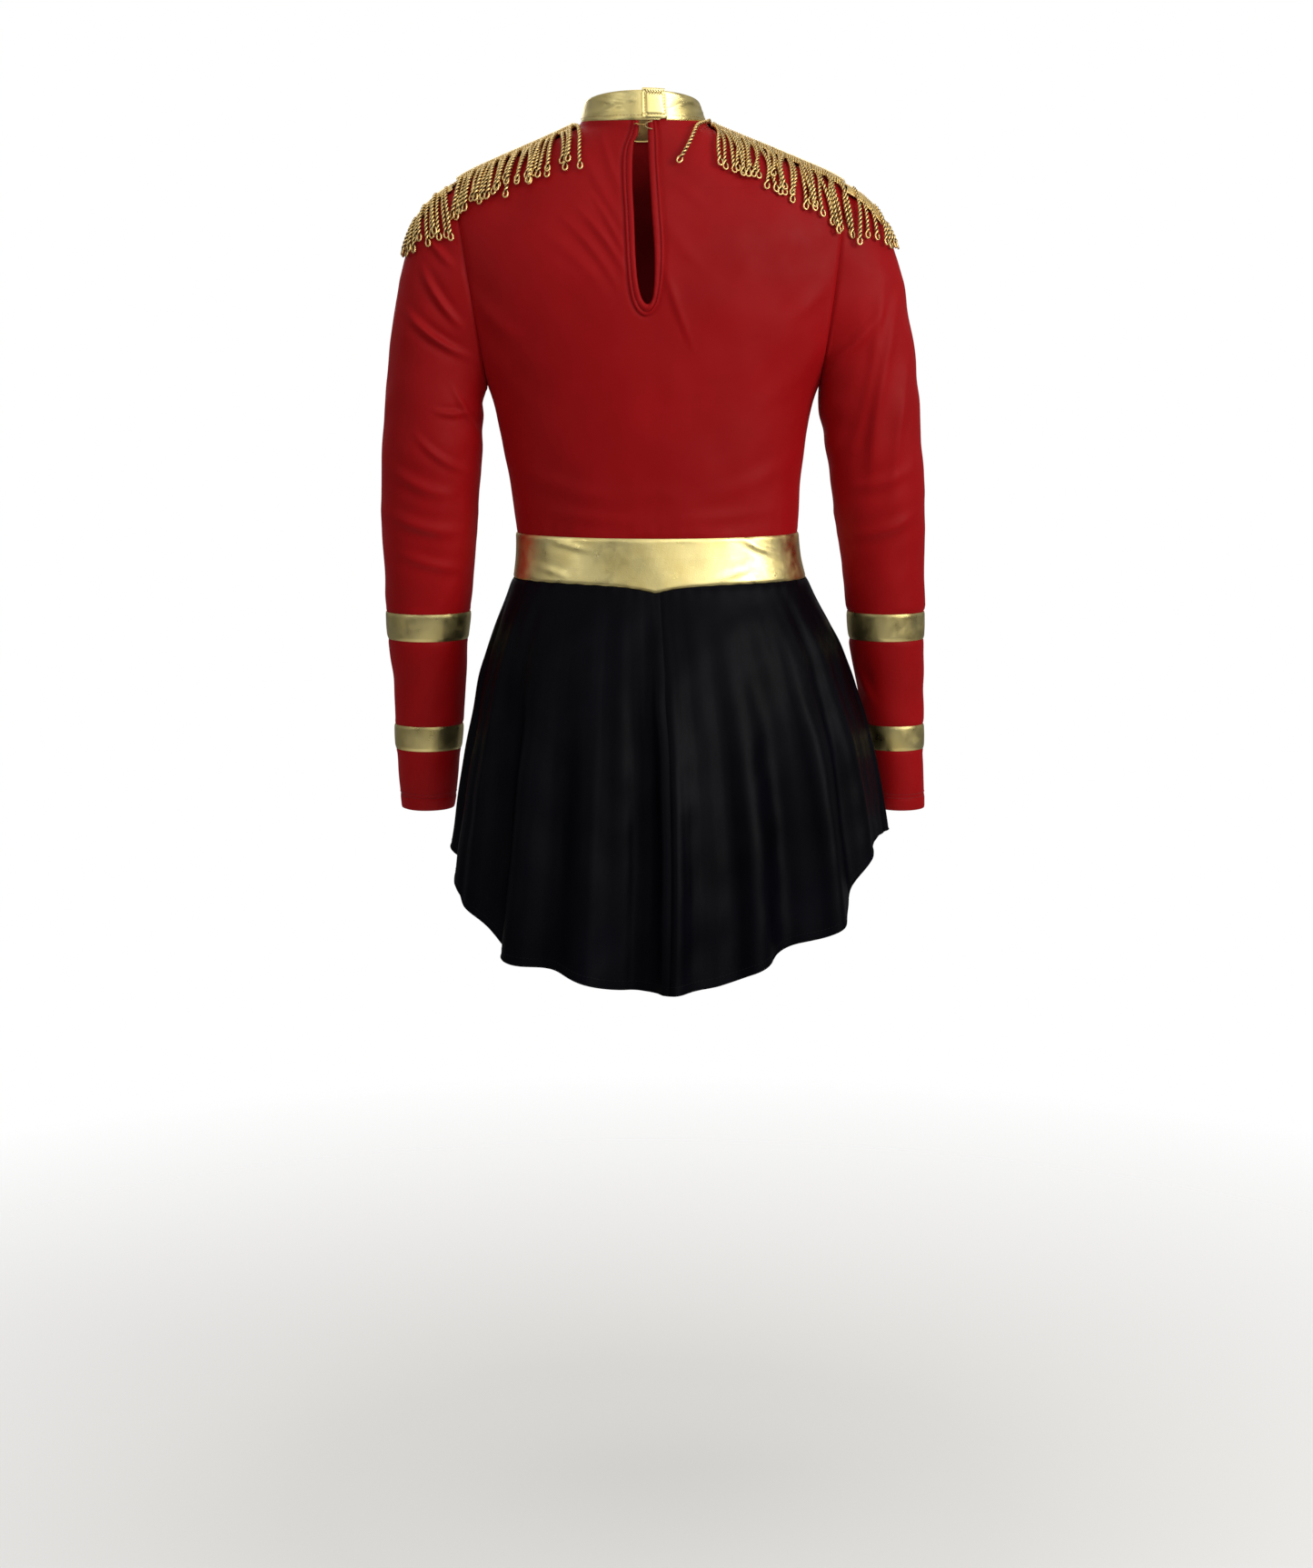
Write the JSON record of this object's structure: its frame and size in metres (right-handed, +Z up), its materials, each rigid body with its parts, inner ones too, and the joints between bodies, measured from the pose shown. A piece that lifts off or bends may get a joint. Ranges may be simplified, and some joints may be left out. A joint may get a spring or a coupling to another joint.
{
  "type": "cheer uniform",
  "caption": "Long-sleeved red cheer uniform with gold collar, waistband, sleeve stripes and fringe epaulettes, a back keyhole and a flared black skirt.",
  "frame": {"origin": "centre of the neck at the height of the collar seam", "axes": "+Z up, -Y out of the chest, +X to the wearer's left"},
  "size_m": [0.53, 0.3306, 0.8274],
  "materials": {
    "red_knit": "matt stretch knit",
    "gold_foil": "metallic foil-printed knit",
    "black_crepe": "matt crepe",
    "gold_bullion": "twisted metallic cord",
    "brass_wire": "drawn wire",
    "elastic": "woven elastic",
    "hook_loop": "hook and loop tape"
  },
  "bodies": {
    "uniform": {"bodice_back": "red_knit", "bodice_front": "red_knit", "keyhole_binding": "red_knit", "collar_band": "gold_foil", "collar_loop_patch": "hook_loop", "neck_hook": "brass_wire", "neck_eye": "brass_wire", "waistband_back": "gold_foil", "waistband_front": "gold_foil", "waist_elastic": "elastic", "skirt_back_left": "black_crepe", "skirt_front_left": "black_crepe", "skirt_front_right": "black_crepe", "skirt_back_right": "black_crepe", "brief_back": "black_crepe", "brief_front": "black_crepe", "leg_elastic_left": "elastic", "leg_elastic_right": "elastic", "sleeve_cap_left": "red_knit", "epaulette_braid_left": "gold_bullion", "fringe_tip_left": "gold_bullion", "sleeve_cap_right": "red_knit", "epaulette_braid_right": "gold_bullion", "fringe_tip_right": "gold_bullion"},
    "collar_flap": {"collar_tab": "gold_foil", "collar_hook_patch": "hook_loop"},
    "upper_sleeve_left": {"sleeve_upper_left": "red_knit", "sleeve_elbow_left": "red_knit"},
    "forearm_sleeve_left": {"sleeve_lower_left": "red_knit", "stripe_upper_left": "gold_foil", "sleeve_mid_left": "red_knit", "stripe_lower_left": "gold_foil", "cuff_left": "red_knit"},
    "back_fringe_left": {"fringe_back_left": "gold_bullion"},
    "front_fringe_left": {"fringe_front_left": "gold_bullion"},
    "upper_sleeve_right": {"sleeve_upper_right": "red_knit", "sleeve_elbow_right": "red_knit"},
    "forearm_sleeve_right": {"sleeve_lower_right": "red_knit", "stripe_upper_right": "gold_foil", "sleeve_mid_right": "red_knit", "stripe_lower_right": "gold_foil", "cuff_right": "red_knit"},
    "back_fringe_right": {"fringe_back_right": "gold_bullion"},
    "front_fringe_right": {"fringe_front_right": "gold_bullion"}
  },
  "joints": [
    {"name": "collar_fastening", "type": "hinge", "parent": "uniform", "child": "collar_flap", "pos_m": [-0.012, 0.0559, 0.008], "axis": [0.0972, -0.1296, 0.9868], "range_deg": [0, 100]},
    {"name": "shoulder_left", "type": "hinge", "parent": "uniform", "child": "upper_sleeve_left", "pos_m": [0.208, -0.002, -0.165], "axis": [0, -1, 0], "range_deg": [0, 70], "deforming": ["sleeve_cap_left"]},
    {"name": "elbow_left", "type": "hinge", "parent": "upper_sleeve_left", "child": "forearm_sleeve_left", "pos_m": [0.2146, -0.01, -0.366], "axis": [-1, 0, 0], "range_deg": [0, 90], "deforming": ["sleeve_elbow_left"]},
    {"name": "fringe_swing_back_left", "type": "hinge", "parent": "uniform", "child": "back_fringe_left", "pos_m": [0.127, 0.0058, -0.0308], "axis": [0.9182, 0, -0.3961], "range_deg": [0, 60]},
    {"name": "fringe_swing_front_left", "type": "hinge", "parent": "uniform", "child": "front_fringe_left", "pos_m": [0.127, -0.0058, -0.0308], "axis": [-0.9182, 0, 0.3961], "range_deg": [0, 60]},
    {"name": "shoulder_right", "type": "hinge", "parent": "uniform", "child": "upper_sleeve_right", "pos_m": [-0.207, -0.002, -0.165], "axis": [0, 1, 0], "range_deg": [0, 70], "deforming": ["sleeve_cap_right"]},
    {"name": "elbow_right", "type": "hinge", "parent": "upper_sleeve_right", "child": "forearm_sleeve_right", "pos_m": [-0.2167, -0.01, -0.366], "axis": [-1, 0, 0], "range_deg": [0, 90], "deforming": ["sleeve_elbow_right"]},
    {"name": "fringe_swing_back_right", "type": "hinge", "parent": "uniform", "child": "back_fringe_right", "pos_m": [-0.115, 0.0058, -0.0308], "axis": [0.933, 0, 0.36], "range_deg": [0, 60]},
    {"name": "fringe_swing_front_right", "type": "hinge", "parent": "uniform", "child": "front_fringe_right", "pos_m": [-0.115, -0.0058, -0.0308], "axis": [-0.933, 0, -0.36], "range_deg": [0, 60]}
  ]
}
